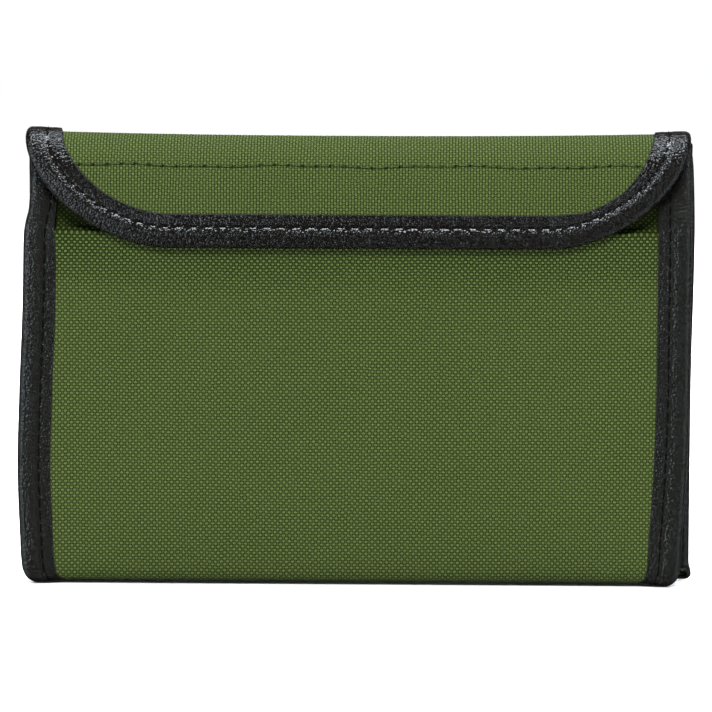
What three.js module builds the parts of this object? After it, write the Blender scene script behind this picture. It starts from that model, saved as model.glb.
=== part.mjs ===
import * as THREE from "three";

// A fishing lure bag: a slim pouch of woven cloth with a flap, its edges bound in grained tape.
// Millimetres. X runs to the right seen from the front, Y to the back, Z up from the surface it stands on.

const CLEARANCE = 0.3;
const CLOTH = { thickness: 1.2, columns: 14, inset: 1.3 };
// The tape's section: how far it reaches in over the cloth, and its rounded fold past the cloth's edge.
const TAPE = {
  thickness: 1,
  reach: 10.1,
  nose: 1.3,
  noseStart: 0.9,
  shoulder: 0.6,
  shoulderSpread: 0.72,
  lowerSteps: 12,
};
// The pleated side pieces: the pleat's depth from the cloth's edge, and the edges that the tape holds,
// which grow narrow towards the base between the two fade heights.
const GUSSET = {
  thickness: 1,
  pleat: 17,
  bow: 0.9,
  flangeStart: 1.6,
  flangePastTape: 0.9,
  shortFlange: 0.4,
  flangeFadeFrom: 32,
  flangeFadeTo: 20,
};
// The flap's outline: corners curve from the full width at the top to a straight lower edge.
const FLAP = {
  top: 153.2,
  edge: 116.2,
  straightLeft: -63.5,
  straightRight: 65,
  cornerPower: 1.76,
  rows: 15,
};
// How flat the cloth is from side to side: its swell and sag are full in the middle and nothing at half.
const CROWN = { half: 112, power: 2.4 };

const FINISH = {
  cloth: { color: 0x4a5c2f, roughness: 0.85, metalness: 0 },
  tape: { color: 0x1c1b19, roughness: 0.5, metalness: 0 },
  gusset: { color: 0x1a1a19, roughness: 0.55, metalness: 0 },
};

// Small steps by which directions are found, room for rounding, and how often a search halves its range.
const ALONG_STEP = 0.05;
const NORMAL_STEP = 0.2;
const ROUNDING = 1e-6;
const HALVINGS = 40;

// The cloth's middle surface at its side edges, from the top of the front, under the base, up the back,
// over the top and down the flap. swell: how far the middle stands out. sag: how far the middle hangs down.
// left, right: outer edges of the tape, before the flap's corners are rounded. room: share of the space that
// the tape has for the gusset's edge. rows: sections from this row to the next.
const STRIP = [
  { at: "front top", y: 2.6, z: 149.9, swell: 0, sag: 2, left: -111, right: 113.4, room: 1, rows: 2 },
  { at: "front rim", y: -1.2, z: 140.7, swell: 0.4, sag: 0.6, left: -110.9, right: 113.1, room: 1, rows: 2 },
  { at: "over crease", y: -5.8, z: 128.6, swell: 1, sag: 0, left: -111.2, right: 112.9, room: 1, rows: 2 },
  { at: "crease back", y: -8, z: 122.9, swell: 1.4, sag: 0, left: -112.3, right: 112.8, room: 1, rows: 2 },
  { at: "crease", y: -8.8, z: 119.9, swell: 1.6, sag: 0, left: -112.7, right: 112.8, room: 1, rows: 2 },
  { at: "under crease", y: -9, z: 114.4, swell: 1.8, sag: 0, left: -112.9, right: 112.8, room: 1, rows: 2 },
  { at: "front high", y: -9.2, z: 96, swell: 2, sag: 0, left: -113.2, right: 112.7, room: 1, rows: 3 },
  { at: "front middle", y: -9.4, z: 67, swell: 2.2, sag: 0, left: -114.3, right: 112.6, room: 1, rows: 3 },
  { at: "front low", y: -9.3, z: 40.5, swell: 2, sag: 0, left: -115, right: 111.9, room: 1, rows: 3 },
  { at: "front foot", y: -9, z: 18, swell: 1.2, sag: 0, left: -114.3, right: 110.6, room: 1, rows: 2 },
  { at: "front fold", y: -8.7, z: 5.9, swell: 0.4, sag: 0, left: -113.5, right: 109.9, room: 0, rows: 2 },
  { at: "front heel", y: -7.53, z: 3.07, swell: 0.1, sag: 0, left: -112.3, right: 108.9, room: 0, rows: 2 },
  { at: "base front", y: -4.7, z: 1.9, swell: 0, sag: 0, left: -110.4, right: 107, room: 0, rows: 3 },
  { at: "base back", y: 9, z: 1.9, swell: 0, sag: 0, left: -110.4, right: 108.4, room: 0, rows: 2 },
  { at: "back heel", y: 11.83, z: 3.07, swell: 0, sag: 0, left: -112.8, right: 114.8, room: 0, rows: 2 },
  { at: "back fold", y: 13, z: 5.9, swell: 0.1, sag: 0, left: -112.4, right: 114.2, room: 0, rows: 2 },
  { at: "back foot", y: 13.2, z: 18, swell: 0.4, sag: 0, left: -112.4, right: 114.1, room: 1, rows: 3 },
  { at: "back middle", y: 13.4, z: 67, swell: 0.8, sag: 0, left: -112.6, right: 114.2, room: 1, rows: 3 },
  { at: "back high", y: 13.3, z: 116, swell: 0.5, sag: 0, left: -112.6, right: 115, room: 1, rows: 2 },
  { at: "back top", y: 12.7, z: 140.7, swell: 0.1, sag: 0.1, left: -112.6, right: 114.4, room: 1, rows: 2 },
  { at: "top back", y: 11, z: 148.2, swell: 0, sag: 0.6, left: -112.6, right: 113.6, room: 0.1, rows: 2 },
  { at: "roof back", y: 7.6, z: 152, swell: 0, sag: 1.1, left: -112.6, right: 112.9, room: 0, rows: 2 },
  { at: "roof", y: 2.8, z: 153.3, swell: 0, sag: 1.4, left: -112.6, right: 112.6, room: 0, rows: 0 },
  { at: "roof front", y: -2.2, z: 152.1, swell: 0, sag: 1.4, left: -112.6, right: 112.6, room: 0, rows: 0 },
  { at: "flap bend", y: -6.4, z: 148.2, swell: 0.2, sag: 1, left: -112.6, right: 112.6, room: 0, rows: 0 },
  { at: "flap high", y: -9.2, z: 141.7, swell: 0.5, sag: 0.5, left: -112.6, right: 112.6, room: 0, rows: 0 },
  { at: "flap mid", y: -10.9, z: 131.6, swell: 1.2, sag: 0, left: -112.6, right: 112.6, room: 0, rows: 0 },
  { at: "flap low", y: -11.7, z: 122, swell: 1.7, sag: 0, left: -112.6, right: 112.6, room: 0, rows: 0 },
  { at: "flap edge", y: -11.8, z: 115, swell: 1.8, sag: 0, left: -112.6, right: 112.6, room: 0, rows: 0 },
];

// Distance along the strip at which each row of the table stands.
const rowDistance = [0];
for (let i = 1; i < STRIP.length; i++) {
  const step = Math.hypot(STRIP[i].y - STRIP[i - 1].y, STRIP[i].z - STRIP[i - 1].z);
  rowDistance.push(rowDistance[i - 1] + step);
}
const STRIP_END = rowDistance[rowDistance.length - 1];

function distanceOf(rowName) {
  return rowDistance[STRIP.findIndex((row) => row.at === rowName)];
}

// The slope of a column at a row, chosen so that the curve never swings past the rows.
function columnSlope(name, i) {
  if (i === 0 || i === STRIP.length - 1) {
    const a = i === 0 ? 0 : i - 1;
    return (STRIP[a + 1][name] - STRIP[a][name]) / (rowDistance[a + 1] - rowDistance[a]);
  }
  const before = rowDistance[i] - rowDistance[i - 1];
  const after = rowDistance[i + 1] - rowDistance[i];
  const slopeBefore = (STRIP[i][name] - STRIP[i - 1][name]) / before;
  const slopeAfter = (STRIP[i + 1][name] - STRIP[i][name]) / after;
  if (slopeBefore * slopeAfter <= 0) return 0;
  const weightBefore = 2 * after + before;
  const weightAfter = after + 2 * before;
  return (weightBefore + weightAfter) / (weightBefore / slopeBefore + weightAfter / slopeAfter);
}

// A column of the table at a distance along the strip, on a smooth curve through the rows.
function column(name, distance) {
  let i = 0;
  while (i < STRIP.length - 2 && distance > rowDistance[i + 1]) i++;
  const span = rowDistance[i + 1] - rowDistance[i];
  const f = Math.min(1, Math.max(0, (distance - rowDistance[i]) / span));
  const start = (1 + 2 * f) * (1 - f) ** 2 * STRIP[i][name];
  const end = f * f * (3 - 2 * f) * STRIP[i + 1][name];
  const startBend = f * (1 - f) ** 2 * span * columnSlope(name, i);
  const endBend = f * f * (f - 1) * span * columnSlope(name, i + 1);
  return start + end + startBend + endBend;
}

// The point of the cloth's middle surface at a distance along the strip and a place across it.
function clothPoint(distance, x) {
  const a = Math.max(0, distance - ALONG_STEP);
  const b = Math.min(STRIP_END, distance + ALONG_STEP);
  const along = new THREE.Vector2(column("y", b) - column("y", a), column("z", b) - column("z", a));
  along.normalize();
  const crown = Math.max(0, 1 - Math.abs(x / CROWN.half) ** CROWN.power);
  const swell = column("swell", distance) * crown;
  const sag = column("sag", distance) * crown;
  const y = column("y", distance) + swell * along.y;
  const z = column("z", distance) - swell * along.x - sag;
  return new THREE.Vector3(x, y, z);
}

// The direction out of the bag at a place on the cloth.
function clothNormal(distance, x) {
  const a = Math.max(0, distance - NORMAL_STEP);
  const b = Math.min(STRIP_END, distance + NORMAL_STEP);
  const along = clothPoint(b, x).sub(clothPoint(a, x));
  const across = clothPoint(distance, x + NORMAL_STEP).sub(clothPoint(distance, x - NORMAL_STEP));
  return along.cross(across).normalize();
}

// The distance in a stretch of the strip at which a falling or rising height is reached.
function distanceAtHeight(z, from, to, heightAt) {
  let low = from;
  let high = to;
  const rising = heightAt(to) > heightAt(from);
  for (let i = 0; i < HALVINGS; i++) {
    const middle = (low + high) / 2;
    if (heightAt(middle) < z === rising) low = middle;
    else high = middle;
  }
  return (low + high) / 2;
}

// A cross section of the strip: where it is along the strip, and the cloth's own two edges there.
function sectionAt(distance) {
  const left = column("left", distance) + CLOTH.inset;
  const right = column("right", distance) - CLOTH.inset;
  return { distance, left, right };
}

// Sections from the top of the front to the roof, as many after each row as the table says.
function bodySections() {
  const sections = [];
  for (let i = 0; i < STRIP.length; i++) {
    for (let k = 0; k < STRIP[i].rows; k++) {
      const share = k / STRIP[i].rows;
      sections.push(sectionAt(rowDistance[i] + share * (rowDistance[i + 1] - rowDistance[i])));
    }
  }
  return sections;
}

// Sections down the flap, closer together where its corners turn into the lower edge.
function flapSections() {
  const roof = distanceOf("roof");
  const sections = [];
  const top = sectionAt(roof);
  for (let i = 0; i <= FLAP.rows; i++) {
    const turn = (i / FLAP.rows) * (Math.PI / 2);
    const drop = Math.sin(turn) ** (2 / FLAP.cornerPower);
    const width = Math.max(0, Math.cos(turn)) ** (2 / FLAP.cornerPower);
    const height = FLAP.top - drop * (FLAP.top - FLAP.edge);
    const distance = distanceAtHeight(height, roof, STRIP_END, (d) => column("z", d));
    const left = FLAP.straightLeft + width * (top.left - FLAP.straightLeft);
    const right = FLAP.straightRight + width * (top.right - FLAP.straightRight);
    sections.push({ distance, left, right });
  }
  return sections;
}

// A mesh's geometry from points and triangles, turned so that its faces point outwards.
function solid(points, triangles) {
  let volume = 0;
  for (const [a, b, c] of triangles) {
    volume += points[a].dot(new THREE.Vector3().crossVectors(points[b], points[c]));
  }
  const order = volume < 0 ? [0, 2, 1] : [0, 1, 2];
  const geometry = new THREE.BufferGeometry();
  const positions = points.flatMap((point) => [point.x, point.y, point.z]);
  geometry.setAttribute("position", new THREE.Float32BufferAttribute(positions, 3));
  geometry.setIndex(triangles.flatMap((triangle) => order.map((k) => triangle[k])));
  geometry.computeVertexNormals();
  return geometry;
}

// A closed sheet from a grid of places on its middle surface, each with its point and normal.
function sheetSolid(grid, thickness) {
  const rows = grid.length;
  const columns = grid[0].length;
  const points = [];
  for (const side of [0.5, -0.5]) {
    for (const row of grid) {
      for (const place of row) {
        points.push(place.point.clone().addScaledVector(place.normal, side * thickness));
      }
    }
  }
  const index = (side, i, j) => (side * rows + i) * columns + j;
  const triangles = [];
  const quad = (a, b, c, d) => triangles.push([a, b, c], [a, c, d]);
  for (let i = 0; i < rows - 1; i++) {
    for (let j = 0; j < columns - 1; j++) {
      quad(index(0, i, j), index(0, i, j + 1), index(0, i + 1, j + 1), index(0, i + 1, j));
      quad(index(1, i, j), index(1, i + 1, j), index(1, i + 1, j + 1), index(1, i, j + 1));
    }
  }
  for (let i = 0; i < rows - 1; i++) {
    quad(index(0, i, 0), index(0, i + 1, 0), index(1, i + 1, 0), index(1, i, 0));
    const j = columns - 1;
    quad(index(0, i + 1, j), index(0, i, j), index(1, i, j), index(1, i + 1, j));
  }
  for (let j = 0; j < columns - 1; j++) {
    quad(index(0, 0, j + 1), index(0, 0, j), index(1, 0, j), index(1, 0, j + 1));
    const i = rows - 1;
    quad(index(0, i, j), index(0, i, j + 1), index(1, i, j + 1), index(1, i, j));
  }
  return solid(points, triangles);
}

// The folded tape's section: distances inwards from the cloth's edge and outwards from its middle surface.
function tapeSection(room) {
  const face = CLOTH.thickness / 2 + CLEARANCE;
  const back = face + room * (GUSSET.thickness + CLEARANCE);
  const outer = face + TAPE.thickness;
  const outerBack = back + TAPE.thickness;
  const middle = (face - back) / 2;
  const halfOuter = (outer + outerBack) / 2;
  const half = TAPE.reach / 2;
  return [
    [TAPE.reach, outer],
    [half, outer],
    [TAPE.noseStart, outer],
    [-TAPE.shoulder * TAPE.nose, middle + TAPE.shoulderSpread * halfOuter],
    [-TAPE.nose, middle],
    [-TAPE.shoulder * TAPE.nose, middle - TAPE.shoulderSpread * halfOuter],
    [TAPE.noseStart, -outerBack],
    [half, -outerBack],
    [TAPE.reach, -outerBack],
    [TAPE.reach, -back],
    [half, -back],
    [-CLEARANCE, -back],
    [-CLEARANCE, face],
    [half, face],
    [TAPE.reach, face],
  ];
}

// A point of the tape, which follows the cloth inwards from the edge and stands straight out past it.
function tapePoint(place, inward, outward) {
  const along = place.distance + Math.max(0, inward) * place.inward.x;
  const across = place.x + Math.max(0, inward) * place.inward.y;
  const point = clothPoint(along, across).addScaledVector(clothNormal(along, across), outward);
  if (inward < 0) {
    const near = clothPoint(place.distance + place.inward.x, place.x + place.inward.y);
    const direction = near.sub(clothPoint(place.distance, place.x)).normalize();
    point.addScaledVector(direction, inward);
  }
  return point;
}

// A tape folded round an edge: its section carried along the edge's places and closed at both ends.
function tapeSolid(path) {
  const points = [];
  for (const place of path) {
    for (const [inward, outward] of tapeSection(place.room)) {
      points.push(tapePoint(place, inward, outward));
    }
  }
  const size = tapeSection(0).length;
  const triangles = [];
  for (let i = 0; i < path.length - 1; i++) {
    for (let j = 0; j < size; j++) {
      const next = (j + 1) % size;
      const [a, b] = [i * size + j, i * size + next];
      const [c, d] = [(i + 1) * size + next, (i + 1) * size + j];
      triangles.push([a, b, c], [a, c, d]);
    }
  }
  const contour = tapeSection(path[0].room).map(([inward, outward]) => new THREE.Vector2(inward, outward));
  const turn = Math.sign(THREE.ShapeUtils.area(contour));
  const last = (path.length - 1) * size;
  for (const corners of THREE.ShapeUtils.triangulateShape(contour, [])) {
    const sameTurn = Math.sign(THREE.ShapeUtils.area(corners.map((k) => contour[k]))) === turn;
    const [a, b, c] = sameTurn ? corners : [...corners].reverse();
    triangles.push([c, b, a], [last + a, last + b, last + c]);
  }
  return solid(points, triangles);
}

// A place on an edge of the cloth, with the tape pointing straight across. side is -1 left and 1 right.
function sidePlace(section, side) {
  const x = side < 0 ? section.left : section.right;
  const inward = new THREE.Vector2(0, -side);
  return { distance: section.distance, x, room: column("room", section.distance), inward };
}

// Points the tape square to its path at every place, to the left of the way the path runs.
function faceSquare(path) {
  for (let i = 0; i < path.length; i++) {
    const before = path[Math.max(0, i - 1)];
    const after = path[Math.min(path.length - 1, i + 1)];
    const along = new THREE.Vector2(after.distance - before.distance, after.x - before.x).normalize();
    path[i].inward = new THREE.Vector2(along.y, -along.x);
  }
  return path;
}

const sections = [...bodySections(), ...flapSections()];

function bodyPanel() {
  const grid = sections.map((section) => {
    const row = [];
    for (let j = 0; j <= CLOTH.columns; j++) {
      const x = THREE.MathUtils.lerp(section.left, section.right, j / CLOTH.columns);
      row.push({ point: clothPoint(section.distance, x), normal: clothNormal(section.distance, x) });
    }
    return row;
  });
  return sheetSolid(grid, CLOTH.thickness);
}

function frontBinding(side) {
  const end = distanceOf("base back");
  const run = sections.filter((section) => section.distance <= end + ROUNDING);
  return tapeSolid(run.map((section) => sidePlace(section, side)));
}

// Up the back's right edge, over the top, round the flap and down the back's left edge.
function backFlapBinding() {
  const start = distanceOf("back heel");
  const run = sections.filter((section) => section.distance >= start - ROUNDING);
  const edge = run[run.length - 1];
  const lower = [];
  for (let i = 1; i < TAPE.lowerSteps; i++) {
    const x = THREE.MathUtils.lerp(edge.right, edge.left, i / TAPE.lowerSteps);
    lower.push({ distance: edge.distance, x, room: 0 });
  }
  const right = run.map((section) => sidePlace(section, 1));
  const left = run.map((section) => sidePlace(section, -1)).reverse();
  return tapeSolid(faceSquare([...right, ...lower, ...left]));
}

// A point of the gusset's middle surface where it lies against the cloth, at an inset from the cloth's edge.
function gussetOnCloth(side, distance, inset) {
  const depth = CLOTH.thickness / 2 + CLEARANCE + GUSSET.thickness / 2;
  const section = sectionAt(distance);
  const x = side < 0 ? section.left + inset : section.right - inset;
  return clothPoint(distance, x).addScaledVector(clothNormal(distance, x), -depth);
}

// The gusset's middle line at one level, from the front tape in to the pleat and out to the back tape.
function gussetLine(side, distance) {
  const flangeEnd = TAPE.reach + GUSSET.flangePastTape;
  const z = gussetOnCloth(side, distance, flangeEnd).z;
  const fade = THREE.MathUtils.smoothstep(z, GUSSET.flangeFadeTo, GUSSET.flangeFadeFrom);
  const insets = [THREE.MathUtils.lerp(flangeEnd - GUSSET.shortFlange, GUSSET.flangeStart, fade), flangeEnd];
  const baseMiddle = (distanceOf("base front") + distanceOf("base back")) / 2;
  const front = insets.map((inset) => gussetOnCloth(side, distance, inset));
  const back = insets.map((inset) => {
    const heightAt = (d) => gussetOnCloth(side, d, inset).z;
    return gussetOnCloth(side, distanceAtHeight(z, distanceOf("top back"), baseMiddle, heightAt), inset);
  });
  const pleat = front[1].clone().add(back[1]).multiplyScalar(0.5);
  pleat.x -= side * (GUSSET.pleat - flangeEnd);
  const bend = (flange) => flange.clone().lerp(pleat, 0.5).add(new THREE.Vector3(-side * GUSSET.bow, 0, 0));
  return [front[0], front[1], bend(front[1]), pleat, bend(back[1]), back[1], back[0]];
}

function gusset(side) {
  const from = distanceOf("front rim") - ROUNDING;
  const to = distanceOf("front heel") - ROUNDING;
  const run = sections.filter((section) => section.distance >= from && section.distance < to);
  const lines = run.map((section) => gussetLine(side, section.distance));
  const grid = lines.map((line, i) => {
    const above = lines[Math.max(0, i - 1)];
    const below = lines[Math.min(lines.length - 1, i + 1)];
    return line.map((point, j) => {
      const across = line[Math.min(line.length - 1, j + 1)].clone().sub(line[Math.max(0, j - 1)]);
      const up = above[j].clone().sub(below[j]);
      return { point, normal: across.cross(up).normalize() };
    });
  });
  return sheetSolid(grid, GUSSET.thickness);
}

function piece(name, geometry, finish) {
  const mesh = new THREE.Mesh(geometry, new THREE.MeshStandardMaterial(finish));
  mesh.name = name;
  return mesh;
}

const bag = new THREE.Group();
bag.name = "fishing_lure_bag";
bag.add(piece("body_panel", bodyPanel(), FINISH.cloth));
bag.add(piece("front_binding_left", frontBinding(-1), FINISH.tape));
bag.add(piece("front_binding_right", frontBinding(1), FINISH.tape));
bag.add(piece("back_flap_binding", backFlapBinding(), FINISH.tape));
bag.add(piece("gusset_left", gusset(-1), FINISH.gusset));
bag.add(piece("gusset_right", gusset(1), FINISH.gusset));

export default bag;
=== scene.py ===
"""The looks of a fishing lure bag: woven cloth, grained binding tape, pleated sides and stitches."""

import math

import bmesh
import bpy
import numpy as np
from mathutils import Matrix, Vector


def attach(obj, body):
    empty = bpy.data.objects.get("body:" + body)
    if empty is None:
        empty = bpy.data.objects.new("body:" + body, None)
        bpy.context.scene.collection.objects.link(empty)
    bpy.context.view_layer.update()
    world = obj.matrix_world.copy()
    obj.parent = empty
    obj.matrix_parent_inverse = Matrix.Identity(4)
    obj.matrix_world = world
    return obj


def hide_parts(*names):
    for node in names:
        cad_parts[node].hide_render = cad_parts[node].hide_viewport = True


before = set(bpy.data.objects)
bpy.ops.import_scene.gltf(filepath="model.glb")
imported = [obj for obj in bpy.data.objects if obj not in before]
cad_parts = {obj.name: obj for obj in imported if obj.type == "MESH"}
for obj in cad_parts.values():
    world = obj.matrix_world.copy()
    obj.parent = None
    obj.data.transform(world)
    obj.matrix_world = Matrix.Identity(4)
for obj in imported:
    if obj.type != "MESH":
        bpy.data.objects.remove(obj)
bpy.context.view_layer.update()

# Shapes are worked out in millimetres, in the part's own frame, and become metres when a mesh is made.
MM = 0.001

# The cloth's middle surface at its side edges, from the top of the front, under the base, up the back,
# over the top and down the flap. swell: how far the middle stands out. sag: how far the middle hangs down.
# left, right: outer edges of the tape, before the flap's corners are rounded. room: share of the space that
# the tape has for the gusset's edge.
COLUMNS = ("y", "z", "swell", "sag", "left", "right", "room")
STRIP = {
    "front top": (2.6, 149.9, 0, 2, -111, 113.4, 1),
    "front rim": (-1.2, 140.7, 0.4, 0.6, -110.9, 113.1, 1),
    "over crease": (-5.8, 128.6, 1, 0, -111.2, 112.9, 1),
    "crease back": (-8, 122.9, 1.4, 0, -112.3, 112.8, 1),
    "crease": (-8.8, 119.9, 1.6, 0, -112.7, 112.8, 1),
    "under crease": (-9, 114.4, 1.8, 0, -112.9, 112.8, 1),
    "front high": (-9.2, 96, 2, 0, -113.2, 112.7, 1),
    "front middle": (-9.4, 67, 2.2, 0, -114.3, 112.6, 1),
    "front low": (-9.3, 40.5, 2, 0, -115, 111.9, 1),
    "front foot": (-9, 18, 1.2, 0, -114.3, 110.6, 1),
    "front fold": (-8.7, 5.9, 0.4, 0, -113.5, 109.9, 0),
    "front heel": (-7.53, 3.07, 0.1, 0, -112.3, 108.9, 0),
    "base front": (-4.7, 1.9, 0, 0, -110.4, 107, 0),
    "base back": (9, 1.9, 0, 0, -110.4, 108.4, 0),
    "back heel": (11.83, 3.07, 0, 0, -112.8, 114.8, 0),
    "back fold": (13, 5.9, 0.1, 0, -112.4, 114.2, 0),
    "back foot": (13.2, 18, 0.4, 0, -112.4, 114.1, 1),
    "back middle": (13.4, 67, 0.8, 0, -112.6, 114.2, 1),
    "back high": (13.3, 116, 0.5, 0, -112.6, 115, 1),
    "back top": (12.7, 140.7, 0.1, 0.1, -112.6, 114.4, 1),
    "top back": (11, 148.2, 0, 0.6, -112.6, 113.6, 0.1),
    "roof back": (7.6, 152, 0, 1.1, -112.6, 112.9, 0),
    "roof": (2.8, 153.3, 0, 1.4, -112.6, 112.6, 0),
    "roof front": (-2.2, 152.1, 0, 1.4, -112.6, 112.6, 0),
    "flap bend": (-6.4, 148.2, 0.2, 1, -112.6, 112.6, 0),
    "flap high": (-9.2, 141.7, 0.5, 0.5, -112.6, 112.6, 0),
    "flap mid": (-10.9, 131.6, 1.2, 0, -112.6, 112.6, 0),
    "flap low": (-11.7, 122, 1.7, 0, -112.6, 112.6, 0),
    "flap edge": (-11.8, 115, 1.8, 0, -112.6, 112.6, 0),
}
CLEARANCE = 0.3
CROWN_HALF = 112
CROWN_POWER = 2.4
ALONG_STEP = 0.05
NORMAL_STEP = 0.2
HALVINGS = 40

CLOTH_THICKNESS = 1.2
CLOTH_INSET = 1.3
CLOTH_ROW_STEP = 1.5
# The cloth's columns of points lie closer together near its side edges.
EDGE_COLUMNS = 10
EDGE_SHARE = 0.05
MIDDLE_COLUMNS = 100
# Over the crease the front's cloth falls back between the tapes: first and last heights of the step, the
# height at which the cloth is back in its place, and the insets from its edge at which the fall starts and
# is whole.
FALL_DEPTH = 5.5
FALL_FROM = 119.5
FALL_TO = 121.5
FALL_END = 142
FALL_INSET_FROM = 5.6
FALL_INSET_TO = 8.4
FALL_ROW_STEP = 0.35

FLAP_TOP = 153.2
FLAP_EDGE = 116.2
FLAP_STRAIGHT_LEFT = -63.5
FLAP_STRAIGHT_RIGHT = 65
FLAP_CORNER_POWER = 1.76
FLAP_ROWS = 60

TAPE_THICKNESS = 1
TAPE_REACH = 10.1
TAPE_NOSE = 1.3
TAPE_NOSE_START = 0.9
TAPE_STEP = 0.7
# The tape's relief: its inner lip lies on the cloth, and it swells on both sides of the stitched groove.
LIP_HEIGHT = 0.66
LIP_RADIUS = 0.12
LEG_HEIGHT = 0.85
ROOF_LEG_HEIGHT = 1.75
# The tape is pressed flatter where it goes over the right top corner.
RIGHT_ROOF_DROP = 0.6
STITCH_INSET = 4.0
INNER_SWELL = 0.08
SIDE_SWELL = 0.1
FLAP_SWELL = 0.6
SIDE_GROOVE = 0.05
FLAP_GROOVE = 0.52
GROOVE_INNER = 0.6
GROOVE_OUTER = 1.0
GROOVE_SHARPNESS = 2.2
END_ROUND = 0.7
# How far the back's tape goes on past the cloth's heel.
HEEL_REACH = 1.3
# How much wider the tape's inner band is than usual: on the left front tape by height, on the flap by x.
FRONT_LEFT_BAND = ((110, 0), (120, -0.9), (128, -1.9), (150, -1.9))
FLAP_BAND = (
    (-111, 1.4), (-107, 1.3), (-101, 0.9), (-93, 0.2), (-86, 0),
    (72, 0), (79, -1.1), (87, -1.3), (95, -1.1), (102, 0), (109, 1.2), (111, 1.4),
)

# Points across the tape's section, and the rings that round its ends.
OUTER_LEG_POINTS = 44
NOSE_POINTS = 14
INNER_LEG_POINTS = 12
UNDER_BACK_POINTS = 6
UNDER_FACE_POINTS = 8
END_RINGS = 4

# Stitches in the tape. The middle of the first is FIRST_STITCH pitches from the tape's end, and the groove
# is deepest halfway along a stitch.
FIRST_STITCH = 1.5
MID_STITCH = 0.5
FRONT_STITCH_PITCH = 4.35
FLAP_STITCH_PITCH = 4.93
FRONT_STITCH_GAP = 0.4
FLAP_STITCH_GAP = 1.1
THREAD_RADIUS = 0.32
THREAD_SIDES = 8
THREAD_STEPS = 9
# In radii: how high a thread's middle line lies over its surface, and how far its ends sink from there.
THREAD_RISE = 0.1
THREAD_SINK = 1.8
# A thread thins and sinks with a power of the share of its half length. Its end rings are as thin as at
# THREAD_END_SHARE.
THREAD_POWER = 4
THREAD_END_SHARE = 0.97

GUSSET_THICKNESS = 1
GUSSET_PLEAT = 17
GUSSET_BOW = 0.9
GUSSET_FLANGE_START = 1.6
GUSSET_FLANGE_SHARES = (0, 0.42, 0.72, 1)
GUSSET_FLANGE_PAST_TAPE = 0.9
GUSSET_SHORT_FLANGE = 0.4
GUSSET_FADE_FROM = 32
GUSSET_FADE_TO = 20
GUSSET_LEVEL_STEP = 1.6
GUSSET_POINTS_BETWEEN = 6

# The row of stitches across the flap. Each wave of its line has a size, a length and a start. A shade is
# the part of the cloth's colour that painted shade leaves in the line along the thread's lower edge or at a
# needle hole.
SEAM_HEIGHT = 142.9
SEAM_PITCH = 4.7
SEAM_LENGTH = 3.9
SEAM_RADIUS = 0.18
SEAM_SINK = 1.6
SEAM_WAVES = ((0.35, 9.0, 1.0), (0.2, 3.7, 0.0))
SEAM_LINE = 0.55
SEAM_HOLE = 0.75
SEAM_LINE_SHADE = 0.4
SEAM_HOLE_SHADE = 0.12

# Materials. A ramp has two values and, where they aren't 0 and 1, the results at those values. A size has
# the millimetres that a noise or a cell takes up: across and along the cloth, or along and across the tape.
SEAM_HOLE_RAMP = (0.3, 0.95)
SEAM_UNEVEN_RAMP = (0.3, 0.6, 0.6, 1.0)
SEAM_UNEVEN_SIZE = (7, 40)
NOISE_DETAIL = 2.0
MORE_DETAIL = 3.0

# The weave: millimetres from thread to thread, how round and wavy the threads are, and how much one set
# stands out, the threads across on the body and those along on the flap.
THREAD_ACROSS = 1.0
THREAD_ALONG = 1.0
THREAD_ROUND = 0.5
THREAD_WAVE = 0.5
BODY_LEAN = 0.05
FLAP_LEAN = 0.09
WEAVE_DEPTH = 0.12
# How far before the roof the body's weave starts to turn into the flap's, and where it has turned.
FLAP_WEAVE_FROM = 28
FLAP_WEAVE_TO = 6
# The weave's tone, painted light and shade: how it rises with a thread's height and its round, as painted
# shade between the threads, how fast one set of threads takes over from the other, the share of a check of
# painted shading that brightens the set painted as lit, how much harder the painted shading is on the flap
# about its middle tone, how much darker painted shade makes the gaps from the crease down below the flap,
# and the part of the tone that painted shade leaves above the crease.
WEAVE_RAMP = (0.15, 0.9)
RIDGE_RAMP = (-0.2, 0.9)
OVER_RAMP = (-0.1, 0.1)
BODY_CHECK_SHADE = 0.36
FLAP_CHECK_SHADE = 0.09
FLAP_CONTRAST = 0.5
FLAP_MIDDLE_TONE = 0.53
UNDER_FLAP_SHADE = 1.1
FALL_SHADE = 0.45
# Unevenness: how far the threads drift, and what specks and clouds add to a plain tone.
DRIFT = 0.9
DRIFT_SIZE = (9, 14)
PLAIN_TONE = 0.65
SPECK_SHARE = 0.4
SPECK_SIZE = (1.4, 1.4)
CLOUD_SHARE = 0.3
CLOUD_SIZE = (40, 30)
CLOTH_ROUGHNESS = 0.8
MATT_SPECULAR = 0.05

# The tape's grain: pebbles with a finer grain on them, and puckers. Pebbles are paler on top, and the
# roughness varies in patches.
PEBBLE_SIZE = (0.72, 0.82)
PEBBLE_SMOOTHNESS = 0.35
PEBBLE_TOP_RAMP = (0.45, 0.95)
GRAIN_DEPTH = 0.27
FINE_SHARE = 0.25
FINE_SIZE = (0.4, 0.5)
PUCKER_DEPTH = 0.2
PUCKER_SIZE = (0.8, 3.2)
PATCH_SIZE = (7, 5)
PATCH_RAMP = (0.25, 0.75)
PATCH_GLOSSIER = 0.04
PATCH_ROUGHER = 0.05
TAPE_SPECULAR = 0.4
# The tape's cut edge is matt: where across the tape that ends, and the roughness that it adds.
CUT_EDGE_FROM = 0.3
CUT_EDGE_TO = 0.5
CUT_EDGE_ROUGHNESS = 0.6
# The tape is stretched smooth beside its stitches: where across it, how far to each side, and the grain
# that is left there.
SMOOTH_PLACE = STITCH_INSET + 0.6
SMOOTH_FROM = 0.4
SMOOTH_TO = 1.0
SMOOTH_GRAIN = 0.3
FLAP_TAPE_ROUGHNESS = 0.15
FRONT_TAPE_ROUGHNESS = 0.23
GUSSET_ROUGHNESS = 0.45
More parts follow.
